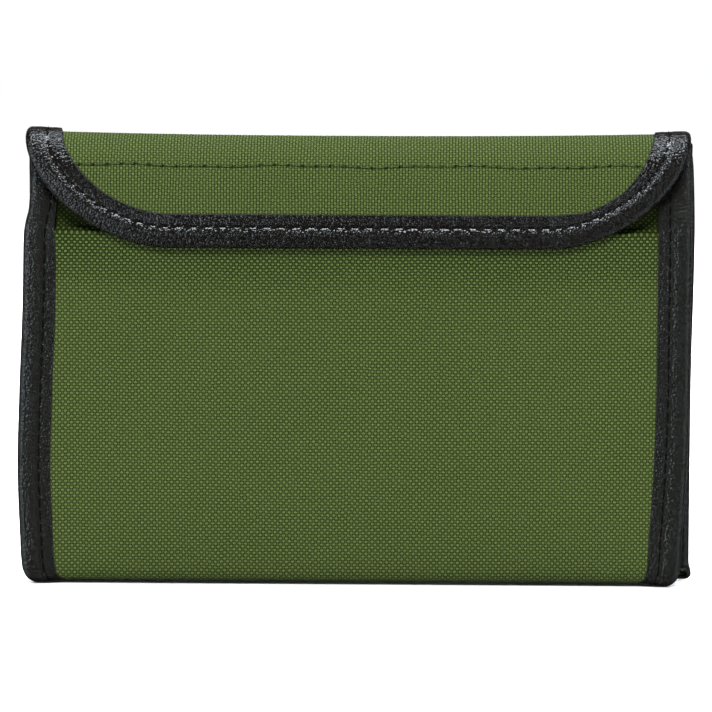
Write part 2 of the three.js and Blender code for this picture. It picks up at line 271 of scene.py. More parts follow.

# Sewing thread: half turns of its twist in a stitch, their depth, and the part of the colour that painted
# shade leaves between them.
TWISTS = 9
TWIST_DEPTH = 0.05
TWIST_SHADE = 0.7
GREEN_THREAD_ROUGHNESS = 0.6
BLACK_THREAD_ROUGHNESS = 0.75

# The cloth's colours paint its light and shade: the set of threads painted as lit, the other set, and the
# painted shade between the threads and in the cloth's shaded places.
CLOTH_LIGHT = (0.0516, 0.0703, 0.0205, 1)
CLOTH_OTHER = (0.0352, 0.0458, 0.0124, 1)
CLOTH_DARK = (0.0082, 0.0138, 0.0022, 1)
TAPE_DARK = (0.0034, 0.0028, 0.0022, 1)
TAPE_DULL = (0.0054, 0.0053, 0.0043, 1)
TAPE_WORN = (0.0052, 0.0047, 0.0043, 1)
GREEN_THREAD = (0.036, 0.052, 0.013, 1)
BLACK_THREAD = (0.0025, 0.0022, 0.002, 1)
WHITE = (1, 1, 1, 1)
BLACK = (0, 0, 0, 1)

# The studio, in metres and watts: a floor, a wall far round it, a sun and area lights.
STUDIO_RADIUS = 12.0
STUDIO_SIDES = 64
WALL_HEIGHT = 1.2
WALL_GLOW = 1.1
FLOOR_COLOUR = (0.935, 0.935, 0.935, 1)
FLOOR_ROUGHNESS = 0.9
SUN_POWER = 5.57
SUN_ANGLE = math.radians(20)
SUN_WAY = (0.03, 0.766, -0.643)
NEUTRAL = (1.0, 1.0, 1.0)
COOL = (0.75, 0.9, 1.0)
PALE = (0.85, 0.93, 1.0)
TOP_COLOUR = (0.85, 0.92, 0.95)
# Each light: its place, the height on the bag's axis that it faces, its size, power and colour, and whether
# it lights matt surfaces and shows in the gloss.
AREA_LIGHTS = {
    "top": ((0.0, 0.15, 1.5), 0.1, (1.6, 0.8), 61, TOP_COLOUR, True, False),
    "back": ((0.4, 1.6, 0.9), 0.08, (1.2, 1.2), 40, NEUTRAL, True, False),
    "left": ((-1.3, -0.5, 0.55), 0.08, (0.6, 1.0), 7, COOL, True, True),
    "right": ((1.3, -0.4, 0.55), 0.08, (0.6, 1.0), 4, COOL, True, True),
    "left_glint": ((-1.0, -1.2, 0.35), 0.08, (0.4, 1.0), 10, COOL, False, True),
    "right_glint": ((1.0, -1.2, 0.35), 0.08, (0.4, 1.0), 2, COOL, False, True),
    "gloss": ((0.0, -0.04, 1.45), 0.12, (0.9, 0.35), 20, PALE, False, True),
    "rim": ((0.0, 0.55, 1.4), 0.12, (0.9, 0.5), 2, PALE, False, True),
}
# The sky's glow by the parts of its direction: near the horizon, behind the bag, and below at both sides.
HORIZON_RAMP = (0.1, 0.35, 1.0, 0.15)
BEHIND_RAMP = (0.75, 0.98, 0.04, 0.3)
SIDES_RAMP = (0.25, 0.6)
BELOW_RAMP = (-0.1, -0.4, 0.0, 1.3)
AHEAD_RAMP = (-0.72, -0.5)
BESIDE_RAMP = (0.1, -0.15)
LOW_TINT = (0.85, 0.94, 1.0, 1)

CAMERA_AIM = Vector((-0.0004, 0, 0.0777))
CAMERA_DISTANCE = 1.5
CAMERA_AZIMUTH = math.radians(1.0)
CAMERA_ELEVATION = math.radians(5.0)
CAMERA_ROLL = math.radians(0.25)
CAMERA_LENS = 223.0
CAMERA_REACH = 50

row_names = list(STRIP)
table = {name: np.array([row[k] for row in STRIP.values()], float) for k, name in enumerate(COLUMNS)}
row_steps = np.hypot(np.diff(table["y"]), np.diff(table["z"]))
row_distance = np.concatenate([[0.0], np.cumsum(row_steps)])
STRIP_END = row_distance[-1]


def distance_of(row_name):
    return row_distance[row_names.index(row_name)]


def column_slopes(values):
    """The slope of a column at each row, chosen so that the curve never swings past the rows."""
    steep = np.diff(values) / row_steps
    before, after = steep[:-1], steep[1:]
    weight_before = 2 * row_steps[1:] + row_steps[:-1]
    weight_after = row_steps[1:] + 2 * row_steps[:-1]
    same_way = before * after > 0
    safe_before = np.where(same_way, before, 1.0)
    safe_after = np.where(same_way, after, 1.0)
    mean = (weight_before + weight_after) / (weight_before / safe_before + weight_after / safe_after)
    return np.concatenate([steep[:1], np.where(same_way, mean, 0.0), steep[-1:]])


slopes = {name: column_slopes(values) for name, values in table.items()}


def column(name, distance):
    """A column of the table at distances along the strip, on a smooth curve through the rows."""
    i = np.clip(np.searchsorted(row_distance[1:], distance), 0, len(row_names) - 2)
    span = row_steps[i]
    f = np.clip((distance - row_distance[i]) / span, 0, 1)
    start = (1 + 2 * f) * (1 - f) ** 2 * table[name][i]
    end = f * f * (3 - 2 * f) * table[name][i + 1]
    start_bend = f * (1 - f) ** 2 * span * slopes[name][i]
    end_bend = f * f * (f - 1) * span * slopes[name][i + 1]
    return start + end + start_bend + end_bend


def cloth_point(distance, x):
    """Points of the cloth's middle surface at distances along the strip and places across it."""
    distance, x = np.broadcast_arrays(np.asarray(distance, float), np.asarray(x, float))
    a = np.maximum(0, distance - ALONG_STEP)
    b = np.minimum(STRIP_END, distance + ALONG_STEP)
    along_y = column("y", b) - column("y", a)
    along_z = column("z", b) - column("z", a)
    length = np.hypot(along_y, along_z)
    crown = np.maximum(0, 1 - np.abs(x / CROWN_HALF) ** CROWN_POWER)
    swell = column("swell", distance) * crown
    sag = column("sag", distance) * crown
    y = column("y", distance) + swell * along_z / length
    z = column("z", distance) - swell * along_y / length - sag
    return np.stack([x, y, z], axis=-1)


def unit(vectors):
    return vectors / np.linalg.norm(vectors, axis=-1, keepdims=True)


def cloth_normal(distance, x):
    """Directions out of the bag at places on the cloth."""
    a = np.maximum(0, distance - NORMAL_STEP)
    b = np.minimum(STRIP_END, distance + NORMAL_STEP)
    along = cloth_point(b, x) - cloth_point(a, x)
    across = cloth_point(distance, x + NORMAL_STEP) - cloth_point(distance, x - NORMAL_STEP)
    return unit(np.cross(along, across))


def distance_at_height(z, start, end, height_at):
    """Distances in a stretch of the strip at which heights are reached."""
    low = np.full(np.shape(z), float(start))
    high = np.full(np.shape(z), float(end))
    rising = np.mean(height_at(high)) > np.mean(height_at(low))
    for _ in range(HALVINGS):
        middle = (low + high) / 2
        before = (height_at(middle) < z) == rising
        low = np.where(before, middle, low)
        high = np.where(before, high, middle)
    return (low + high) / 2


SEAM_LEVEL = float(
    distance_at_height(SEAM_HEIGHT, distance_of("roof"), STRIP_END, lambda d: column("z", d))
)


def smooth_step(value, start, end):
    f = np.clip((value - start) / (end - start), 0, 1)
    return f * f * (3 - 2 * f)


def edges_at(distance):
    """The cloth's own left and right edges."""
    return column("left", distance) + CLOTH_INSET, column("right", distance) - CLOTH_INSET


def front_fall(distance, x):
    """How far the front's cloth falls back between the tapes over the crease."""
    left, right = edges_at(distance)
    inset = np.minimum(x - left, right - x)
    height = column("z", distance)
    step = smooth_step(height, FALL_FROM, FALL_TO) * smooth_step(height, FALL_END, FALL_TO)
    between = smooth_step(inset, FALL_INSET_FROM, FALL_INSET_TO)
    return FALL_DEPTH * step * between * (distance < distance_of("front middle"))


def flap_outline():
    """Distances down the flap with the cloth's two edges, closer together where the corners turn."""
    turn = np.linspace(0, math.pi / 2, FLAP_ROWS + 1)
    drop = np.sin(turn) ** (2 / FLAP_CORNER_POWER)
    width = np.maximum(0, np.cos(turn)) ** (2 / FLAP_CORNER_POWER)
    height = FLAP_TOP - drop * (FLAP_TOP - FLAP_EDGE)
    distance = distance_at_height(height, distance_of("roof"), STRIP_END, lambda d: column("z", d))
    top_left, top_right = edges_at(distance_of("roof"))
    left = FLAP_STRAIGHT_LEFT + width * (top_left - FLAP_STRAIGHT_LEFT)
    right = FLAP_STRAIGHT_RIGHT + width * (top_right - FLAP_STRAIGHT_RIGHT)
    return distance, left, right


def make_object(name, points, faces, corner_uv):
    """A smooth closed mesh from points in millimetres, with one pair of UV values for each face corner."""
    mesh = bpy.data.meshes.new(name)
    mesh.from_pydata((np.asarray(points) * MM).tolist(), [], faces)
    layer = mesh.uv_layers.new(name="flat")
    layer.data.foreach_set("uv", (np.asarray(corner_uv) * MM).ravel())
    work = bmesh.new()
    work.from_mesh(mesh)
    bmesh.ops.recalc_face_normals(work, faces=work.faces)
    work.to_mesh(mesh)
    work.free()
    mesh.shade_smooth()
    piece = bpy.data.objects.new(name, mesh)
    bpy.context.scene.collection.objects.link(piece)
    return piece


def sheet_object(name, middle, normal, thickness, uv):
    """A closed sheet from a grid of points on its middle surface."""
    rows, columns = middle.shape[:2]
    points = np.concatenate([middle + normal * thickness / 2, middle - normal * thickness / 2])
    points = points.reshape(-1, 3)
    flat = np.concatenate([uv, uv]).reshape(-1, 2)
    index = np.arange(2 * rows * columns).reshape(2, rows, columns)
    quads = []
    for side in index:
        quads.append(np.stack([side[:-1, :-1], side[:-1, 1:], side[1:, 1:], side[1:, :-1]], axis=-1))
    rims = [index[:, :, 0], index[:, :, -1], index[:, 0, :], index[:, -1, :]]
    for rim in rims:
        quads.append(np.stack([rim[0, :-1], rim[0, 1:], rim[1, 1:], rim[1, :-1]], axis=-1))
    faces = np.concatenate([block.reshape(-1, 4) for block in quads])
    return make_object(name, points, faces.tolist(), flat[faces])


def tube_object(name, rings, uv):
    """A closed body from rings of points, capped at both ends. uv has a column more than a ring."""
    count, size = rings.shape[:2]
    i, j = np.meshgrid(np.arange(count - 1), np.arange(size), indexing="ij")
    after = (j + 1) % size
    quads = np.stack([i * size + j, i * size + after, (i + 1) * size + after, (i + 1) * size + j], axis=-1)
    corners = np.stack([uv[i, j], uv[i, j + 1], uv[i + 1, j + 1], uv[i + 1, j]], axis=-2)
    first = list(range(size))
    last = [(count - 1) * size + k for k in reversed(range(size))]
    faces = quads.reshape(-1, 4).tolist() + [first, last]
    corner_uv = np.concatenate([corners.reshape(-1, 2), uv[0, :size], uv[-1, size - 1 :: -1][:size]])
    return make_object(name, rings.reshape(-1, 3), faces, corner_uv)


def body_panel():
    """The one strip of cloth: front, base, back, top and flap."""
    roof = distance_of("roof")
    crease = np.arange(distance_of("over crease"), distance_of("under crease"), FALL_ROW_STEP)
    body = np.linspace(0, roof, int(roof / CLOTH_ROW_STEP), endpoint=False)
    body = np.concatenate([body[body < crease[0]], crease, body[body > crease[-1]]])
    body_left, body_right = edges_at(body)
    flap, flap_left, flap_right = flap_outline()
    distance = np.concatenate([body, flap])
    left = np.concatenate([body_left, flap_left])
    right = np.concatenate([body_right, flap_right])
    edge = np.arange(EDGE_COLUMNS) * EDGE_SHARE / EDGE_COLUMNS
    inner = np.linspace(EDGE_SHARE, 1 - EDGE_SHARE, MIDDLE_COLUMNS + 1)
    share = np.concatenate([edge, inner, 1 - edge[::-1]])
    x = left[:, None] + share * (right - left)[:, None]
    along = np.repeat(distance[:, None], len(share), axis=1)
    uv = np.stack([x, along], axis=-1)
    middle = cloth_point(along, x)
    middle[..., 1] += front_fall(along, x)
    down = np.gradient(middle, axis=0)
    normal = unit(np.cross(down, np.gradient(middle, axis=1)))
    return sheet_object("cloth_panel", middle, normal, CLOTH_THICKNESS, uv)


def even_path(distance, x, step):
    """The same path with even steps, with its length so far at every place."""
    length = np.concatenate([[0.0], np.cumsum(np.hypot(np.diff(distance), np.diff(x)))])
    even = np.linspace(0, length[-1], int(length[-1] / step))
    return np.interp(even, length, distance), np.interp(even, length, x), even


def front_path(side):
    """The front's edge from the top to the back of the base. side is -1 left and 1 right."""
    distance = np.arange(0, distance_of("base back"), TAPE_STEP)
    left, right = edges_at(distance)
    x = left if side < 0 else right
    inward = np.stack([np.zeros_like(x), np.full_like(x, -side)], axis=-1)
    heights, extra = np.transpose(FRONT_LEFT_BAND)
    band = np.interp(column("z", distance), heights, extra) if side < 0 else np.zeros_like(x)
    path = {"distance": distance, "x": x, "inward": inward, "length": distance, "band": band}
    path |= {"swell": np.full_like(x, SIDE_SWELL), "groove": np.full_like(x, SIDE_GROOVE)}
    path |= {"leg": np.full_like(x, LEG_HEIGHT), "drop": np.zeros_like(x)}
    path |= {"pitch": FRONT_STITCH_PITCH, "gap": FRONT_STITCH_GAP}
    return path | {"stitch": np.full_like(x, MID_STITCH)}


def flap_path():
    """Up the back's right edge, over the top, round the flap and down the back's left edge."""
    heel = distance_of("back heel")
    back = np.arange(heel - HEEL_REACH, distance_of("roof"), TAPE_STEP)
    back_left, back_right = edges_at(np.maximum(back, heel))
    flap, flap_left, flap_right = flap_outline()
    distance = np.concatenate([back, flap, flap[::-1], back[::-1]])
    x = np.concatenate([back_right, flap_right, flap_left[::-1], back_left[::-1]])
    distance, x, length = even_path(distance, x, TAPE_STEP)
    along = unit(np.stack([np.gradient(distance), np.gradient(x)], axis=-1))
    inward = np.stack([along[:, 1], -along[:, 0]], axis=-1)
    places, extra = np.transpose(FLAP_BAND)
    on_flap = smooth_step(distance, distance_of("roof back"), distance_of("roof front"))
    band = np.interp(x, places, extra) * on_flap
    roof = smooth_step(distance, distance_of("back top"), distance_of("roof back"))
    roof *= smooth_step(distance, distance_of("flap high"), distance_of("roof front"))
    leg = LEG_HEIGHT + (ROOF_LEG_HEIGHT - LEG_HEIGHT) * roof
    low = smooth_step(distance, distance_of("roof front"), distance_of("flap mid"))
    swell = SIDE_SWELL + (FLAP_SWELL - SIDE_SWELL) * low
    groove = SIDE_GROOVE + (FLAP_GROOVE - SIDE_GROOVE) * low
    path = {"distance": distance, "x": x, "inward": inward, "length": length, "band": band}
    path |= {"swell": swell, "groove": groove, "leg": leg, "drop": RIGHT_ROOF_DROP * roof * (x > 0)}
    path |= {"pitch": FLAP_STITCH_PITCH, "gap": FLAP_STITCH_GAP}
    return path | {"stitch": length / FLAP_STITCH_PITCH}


def leg_height(inward, stitch, swell, groove, leg, drop):
    """How high the tape's outer face stands over the cloth's middle surface. stitch counts the stitches."""
    inset = TAPE_REACH - inward
    width = TAPE_REACH - TAPE_NOSE_START
    lip = np.sqrt(1 - (1 - np.clip(inset / LIP_RADIUS, 0, 1)) ** 2)
    top = CLOTH_THICKNESS / 2 + CLEARANCE + TAPE_THICKNESS
    plain = leg + (top - leg) * smooth_step(inset, 0, width) - drop
    inner = INNER_SWELL * np.sin(math.pi * np.clip(inset / STITCH_INSET, 0, 1)) ** 2
    away = inset - STITCH_INSET
    outer = swell * np.sin(math.pi * np.clip(away / (width - STITCH_INSET), 0, 1)) ** 2
    reach = np.where(away < 0, -GROOVE_INNER, GROOVE_OUTER)
    dent = np.cos(math.pi / 2 * np.clip(away / reach, 0, 1)) ** 2
    pressed = np.abs(np.sin(math.pi * stitch)) ** GROOVE_SHARPNESS
    return LIP_HEIGHT + (plain - LIP_HEIGHT) * lip + inner + outer - groove * pressed * dent


def tape_section(path):
    """The folded tape's section at every place: how far in from the cloth's edge and out from its middle."""
    face = CLOTH_THICKNESS / 2 + CLEARANCE
    room = column("room", path["distance"])
    back = (face + room * (GUSSET_THICKNESS + CLEARANCE))[:, None]
    shape = [path[key][:, None] for key in ("stitch", "swell", "groove", "leg", "drop")]
    outer_leg = np.linspace(TAPE_REACH, TAPE_NOSE_START, OUTER_LEG_POINTS)
    inner_leg = np.linspace(TAPE_NOSE_START, TAPE_REACH, INNER_LEG_POINTS)
    under_back = np.linspace(TAPE_REACH, -CLEARANCE, UNDER_BACK_POINTS)
    under_face = np.linspace(-CLEARANCE, TAPE_REACH, UNDER_FACE_POINTS)
    turn = np.linspace(0, math.pi, NOSE_POINTS + 2)[1:-1]
    top = leg_height(np.array(TAPE_NOSE_START), *shape)
    bottom = -(back + TAPE_THICKNESS)
    nose_in = TAPE_NOSE_START - (TAPE_NOSE_START + TAPE_NOSE) * np.sin(turn)
    nose_out = (top + bottom) / 2 + (top - bottom) / 2 * np.cos(turn)
    lip = np.sqrt(1 - (1 - np.clip((TAPE_REACH - inner_leg) / LIP_RADIUS, 0, 1)) ** 2)
    inner_out = -back - TAPE_THICKNESS * lip
    under_back_out = -back * np.ones_like(under_back)
    under_face_out = np.full((len(room), UNDER_FACE_POINTS), LIP_HEIGHT)
    inward = np.concatenate([outer_leg, nose_in, inner_leg, under_back, under_face])
    outward = [leg_height(outer_leg, *shape), nose_out, inner_out, under_back_out, under_face_out]
    return inward, np.concatenate(outward, axis=1)


def tape_points(path, inward, outward):
    """Points of the tape, which follows the cloth inwards and stands straight out past its edge."""
    past_stitch = np.maximum(0, inward - (TAPE_REACH - STITCH_INSET)) / STITCH_INSET
    reach = np.maximum(0, inward) + past_stitch * path["band"][:, None]
    along = path["distance"][:, None] + reach * path["inward"][:, :1]
    across = path["x"][:, None] + reach * path["inward"][:, 1:]
    points = cloth_point(along, across) + outward[..., None] * cloth_normal(along, across)
    here = cloth_point(path["distance"], path["x"])
    near = cloth_point(path["distance"] + path["inward"][:, 0], path["x"] + path["inward"][:, 1])
    past = np.minimum(0, inward)
    return points + (past * np.ones_like(outward))[..., None] * unit(near - here)[:, None, :]


def rounded_end(ring, direction):
    """Rings that close an end with a small rounding, which narrows the ring from both its sides."""
    centre = ring.mean(axis=0)
    rings = []
    for turn in np.linspace(0, math.pi / 2, END_RINGS + 1)[1:]:
        narrow = 1 - 2 * END_ROUND / TAPE_REACH * (1 - math.cos(turn))
        rings.append(centre + (ring - centre) * narrow + direction * END_ROUND * math.sin(turn))
    return rings


def binding(name, path):
    """A tape folded round an edge of the cloth, with its ends rounded."""
    inward, outward = tape_section(path)
    rings = tape_points(path, inward, outward)
    start = rounded_end(rings[0], unit(rings[0].mean(axis=0) - rings[1].mean(axis=0)))
    end = rounded_end(rings[-1], unit(rings[-1].mean(axis=0) - rings[-2].mean(axis=0)))
    rings = np.concatenate([start[::-1], rings, end])
    middle = rings[len(rings) // 2]
    widths = np.linalg.norm(np.diff(middle, axis=0, append=middle[:1]), axis=1)
    across = np.concatenate([[0.0], np.cumsum(widths)])
    steps = np.linspace(END_ROUND, 0, len(start), endpoint=False)
    along = np.concatenate([-steps, path["length"], path["length"][-1] + steps[::-1]])
    uv = np.stack(np.broadcast_arrays(along[:, None], across[None, :]), axis=-1)
    return tube_object(name, rings, uv)


def gusset_on_cloth(side, distance, inset):
    """Points of the gusset's middle surface against the cloth, at an inset from the cloth's edge."""
    depth = CLOTH_THICKNESS / 2 + CLEARANCE + GUSSET_THICKNESS / 2
    left, right = edges_at(distance)
    x = left + inset if side < 0 else right - inset
    points = cloth_point(distance, x) - depth * cloth_normal(distance, x)
    points[..., 1] += front_fall(distance, x)
    return points


def smooth_line(points, between):
    """Smooth curves through rows of points, with extra points between each pair."""
    before = np.concatenate([2 * points[:, :1] - points[:, 1:2], points[:, :-2]], axis=1)
    after = np.concatenate([points[:, 2:], 2 * points[:, -1:] - points[:, -2:-1]], axis=1)
    start, end = points[:, :-1], points[:, 1:]
    pieces = []
    for f in np.arange(between) / between:
        bend = 2 * before - 5 * start + 4 * end - after
        twist = 3 * start - before - 3 * end + after
        pieces.append(start + 0.5 * f * ((end - before) + f * (bend + f * twist)))
    line = np.stack(pieces, axis=2).reshape(len(points), -1, 3)
    return np.concatenate([line, points[:, -1:]], axis=1)


def gusset(name, side):
    """A pleated side piece from the front tape in to its fold and out to the back tape."""
    start, end = distance_of("front rim"), distance_of("front heel")
    distance = np.arange(start, end, GUSSET_LEVEL_STEP)
    flange_end = TAPE_REACH + GUSSET_FLANGE_PAST_TAPE
    z = gusset_on_cloth(side, distance, flange_end)[:, 2]
    fade = smooth_step(z, GUSSET_FADE_TO, GUSSET_FADE_FROM)
    short = flange_end - GUSSET_SHORT_FLANGE
    outer = short + (GUSSET_FLANGE_START - short) * fade
    base_middle = (distance_of("base front") + distance_of("base back")) / 2
    front, back = [], []
    for share in GUSSET_FLANGE_SHARES:
        inset = outer + (flange_end - outer) * share
        front.append(gusset_on_cloth(side, distance, inset))
        level = distance_at_height(
            z, distance_of("top back"), base_middle, lambda d: gusset_on_cloth(side, d, inset)[:, 2]
        )
        back.append(gusset_on_cloth(side, level, inset))
    pleat = (front[-1] + back[-1]) / 2
    pleat[:, 0] -= side * (GUSSET_PLEAT - flange_end)
    bow = np.array([-side * GUSSET_BOW, 0, 0])
    front_bend = (front[-1] + pleat) / 2 + bow
    back_bend = (back[-1] + pleat) / 2 + bow
    line = np.stack(front + [front_bend, pleat, back_bend] + back[::-1], axis=1)
    grid = smooth_line(line, GUSSET_POINTS_BETWEEN)
    across = np.gradient(grid, axis=1)
    up = -np.gradient(grid, axis=0)
    widths = np.linalg.norm(np.diff(grid, axis=1, prepend=grid[:, :1]), axis=-1)
    uv = np.stack([np.cumsum(widths, axis=1), np.repeat(distance[:, None], grid.shape[1], axis=1)], axis=-1)
    return sheet_object(name, grid, unit(np.cross(across, up)), GUSSET_THICKNESS, uv)


def thread_object(name, centres, normals, radius):
    """Short lengths of thread, each along a row of points, with tapered ends."""
    along = unit(np.gradient(centres, axis=1))
    side = unit(np.cross(along, normals))
    out = np.cross(side, along)
    share = np.linspace(-THREAD_END_SHARE, THREAD_END_SHARE, centres.shape[1])
    taper = np.sqrt(1 - share**THREAD_POWER) * radius
    turn = np.arange(THREAD_SIDES) * 2 * math.pi / THREAD_SIDES
    circle = out[:, :, None] * np.cos(turn)[:, None] + side[:, :, None] * np.sin(turn)[:, None]
    rings = centres[:, :, None] + circle * taper[None, :, None, None]
    count, steps, size = rings.shape[:3]
    index = np.arange(count * steps * size).reshape(count, steps, size)
    after = np.roll(index, -1, axis=2)
    quads = np.stack([index[:, :-1], after[:, :-1], after[:, 1:], index[:, 1:]], axis=-1).reshape(-1, 4)
    faces = quads.tolist() + index[:, 0].tolist() + index[:, -1, ::-1].tolist()
    lengths = np.repeat(np.linspace(0, 1, steps), size)
    rounds = np.tile(turn, steps)
    flat = np.tile(np.stack([lengths, rounds], axis=-1), (count, 1))
    corners = np.concatenate([flat[face] for face in map(np.array, faces)])
    return make_object(name, rings.reshape(-1, 3), faces, corners)


def thread_height(share, radius, sink):
    """How high a stitch's middle line lies over its surface, and how it sinks in towards its ends."""
    return radius * (THREAD_RISE - sink * share**THREAD_POWER)


def tape_stitches(name, path):
    """The row of stitches in the tape's groove."""
    pitch = path["pitch"]
    middles = np.arange(FIRST_STITCH * pitch, path["length"][-1] - pitch, pitch)
    share = np.linspace(-1, 1, THREAD_STEPS)
    length = (middles[:, None] + share * (pitch - path["gap"]) / 2).ravel()
    place = {"inward": np.empty((len(length), 2))}
    for key in ("distance", "x", "band", "swell", "groove", "leg", "drop"):
        place[key] = np.interp(length, path["length"], path[key])
    for k in range(2):
        place["inward"][:, k] = np.interp(length, path["length"], path["inward"][:, k])
    inward = np.array([TAPE_REACH - STITCH_INSET])
    rise = np.tile(thread_height(share, THREAD_RADIUS, THREAD_SINK), len(middles))
    relief = [place[key][:, None] for key in ("swell", "groove", "leg", "drop")]
    groove = leg_height(inward, MID_STITCH, *relief)
    floor_points = tape_points(place, inward, groove)
    thread_points = tape_points(place, inward, groove + rise[:, None])
    points_above = tape_points(place, inward, groove + 1)
    rows = (len(middles), THREAD_STEPS, 3)
    normals = unit(points_above - floor_points)
    return thread_object(name, thread_points.reshape(rows), normals.reshape(rows), THREAD_RADIUS)


def seam_distance(x):
    """Where the row of stitches across the flap runs: nearly level, and a little wavy."""
    wave = sum(size * np.sin(x / length + start) for size, length, start in SEAM_WAVES)
    return SEAM_LEVEL + wave


def flap_seam():
    """The row of stitches across the flap, from tape to tape."""
    distance, left, right = flap_outline()
    level = float(seam_distance(np.array(0.0)))
    start = np.interp(level, distance, left) + TAPE_REACH
    end = np.interp(level, distance, right) - TAPE_REACH
    middles = np.arange(start, end, SEAM_PITCH) + SEAM_PITCH / 2
    share = np.linspace(-1, 1, THREAD_STEPS)
    x = middles[:, None] + share * SEAM_LENGTH / 2
    along = seam_distance(x)
    normal = cloth_normal(along, x)
    height = CLOTH_THICKNESS / 2 + thread_height(share, SEAM_RADIUS, SEAM_SINK)
    centres = cloth_point(along, x) + normal * height[None, :, None]
    return thread_object("flap_seam", centres, normal, SEAM_RADIUS)


def material(name):
    """A new material with its node tree and its shader."""
    made = bpy.data.materials.new(name)
    made.use_nodes = True
    return made, made.node_tree, made.node_tree.nodes["Principled BSDF"]


def feed(tree, socket, value):
    """Gives an input a number, a colour or another node's output."""
    if isinstance(value, bpy.types.NodeSocket):
        tree.links.new(value, socket)
    else:
        socket.default_value = value


def math_node(tree, operation, *values):
    node = tree.nodes.new("ShaderNodeMath")
    node.operation = operation
    for socket, value in zip(node.inputs, values):
        feed(tree, socket, value)
    return node.outputs[0]


def ramp(tree, value, low, high, out_low=0.0, out_high=1.0):
    """A value carried smoothly from one range to another."""
    node = tree.nodes.new("ShaderNodeMapRange")
    node.interpolation_type = "SMOOTHSTEP"
    feed(tree, node.inputs["Value"], value)
    for socket, number in (("From Min", low), ("From Max", high), ("To Min", out_low), ("To Max", out_high)):
        node.inputs[socket].default_value = number
    return node.outputs["Result"]


def mix_colour(tree, share, low, high):
    node = tree.nodes.new("ShaderNodeMix")
    node.data_type = "RGBA"
    feed(tree, node.inputs[0], share)
    feed(tree, node.inputs[6], low)
    feed(tree, node.inputs[7], high)
    return node.outputs[2]


def flat_place(tree):
    """The place on the flat sheet or tape, in millimetres."""
    uv = tree.nodes.new("ShaderNodeUVMap")
    uv.uv_map = "flat"
    scale = tree.nodes.new("ShaderNodeVectorMath")
    scale.operation = "SCALE"
    tree.links.new(uv.outputs[0], scale.inputs[0])
    scale.inputs["Scale"].default_value = 1 / MM
    return scale.outputs[0]


def stretched(tree, place, first, second):
    """A place measured in units of the two sizes given."""
    node = tree.nodes.new("ShaderNodeVectorMath")
    node.operation = "MULTIPLY"
    tree.links.new(place, node.inputs[0])
    node.inputs[1].default_value = (1 / first, 1 / second, 1)
    return node.outputs[0]


def noise(tree, place, detail=NOISE_DETAIL):
    node = tree.nodes.new("ShaderNodeTexNoise")
    tree.links.new(place, node.inputs["Vector"])
    node.inputs["Scale"].default_value = 1.0
    node.inputs["Detail"].default_value = detail
    return node.outputs["Fac"]


def bump(tree, height, depth, normal=None, strength=1.0):
    """A bump of a depth in millimetres for heights from 0 to 1."""
    node = tree.nodes.new("ShaderNodeBump")
    feed(tree, node.inputs["Strength"], strength)
    node.inputs["Distance"].default_value = depth * MM
    tree.links.new(height, node.inputs["Height"])
    if normal is not None:
        tree.links.new(normal, node.inputs["Normal"])
    return node.outputs[0]


def seam_shade(tree, x, distance, uneven):
    """Painted shade: 1 on the cloth, less along the lower edge of the row of stitches across the flap and
    least at its needle holes.
    """
    line = distance
    for size, length, start in SEAM_WAVES:
        wave = math_node(tree, "SINE", math_node(tree, "MULTIPLY_ADD", x, 1 / length, start))
        line = math_node(tree, "MULTIPLY_ADD", wave, -size, line)
    away = math_node(tree, "ABSOLUTE", math_node(tree, "SUBTRACT", line, SEAM_LEVEL + SEAM_RADIUS))
    turn = math_node(tree, "COSINE", math_node(tree, "MULTIPLY", x, 2 * math.pi / SEAM_PITCH))
    depth = ramp(tree, uneven, *SEAM_UNEVEN_RAMP)
    hole = math_node(tree, "MULTIPLY", ramp(tree, turn, *SEAM_HOLE_RAMP), depth)
    thin = ramp(tree, away, SEAM_LINE / 2, SEAM_LINE, SEAM_LINE_SHADE, 1.0)
    wide = ramp(tree, away, SEAM_HOLE / 3, SEAM_HOLE, SEAM_HOLE_SHADE, 1.0)
    deep = math_node(tree, "MAXIMUM", wide, math_node(tree, "SUBTRACT", 1.0, hole))
    return math_node(tree, "MINIMUM", thin, deep)


def split_place(tree, place):
    """The two parts of a place on the flat sheet or tape."""
    axes = tree.nodes.new("ShaderNodeSeparateXYZ")
    tree.links.new(place, axes.inputs[0])
    return axes.outputs[0], axes.outputs[1]


def weave_thread(tree, across, along, wave):
    """The height of a set of threads, round across and over and under the other set along, and its round."""
    whole = math_node(tree, "FLOOR", across)
    turn = math_node(tree, "COSINE", math_node(tree, "MULTIPLY", whole, math.pi))
    back = math_node(tree, "SINE", math_node(tree, "MULTIPLY", along, math.pi))
    over = math_node(tree, "MULTIPLY", math_node(tree, "MULTIPLY", turn, back), wave)
    side = math_node(tree, "ABSOLUTE", math_node(tree, "SINE", math_node(tree, "MULTIPLY", across, math.pi)))
    return math_node(tree, "MULTIPLY_ADD", side, THREAD_ROUND, over), side


def uneven_tone(tree, place):
    """A tone that varies in small specks and wide clouds."""
    speck = noise(tree, stretched(tree, place, *SPECK_SIZE))
    cloud = noise(tree, stretched(tree, place, *CLOUD_SIZE), MORE_DETAIL)
    clouded = math_node(tree, "MULTIPLY_ADD", cloud, CLOUD_SHARE, PLAIN_TONE)
    return math_node(tree, "MULTIPLY_ADD", speck, SPECK_SHARE, clouded)


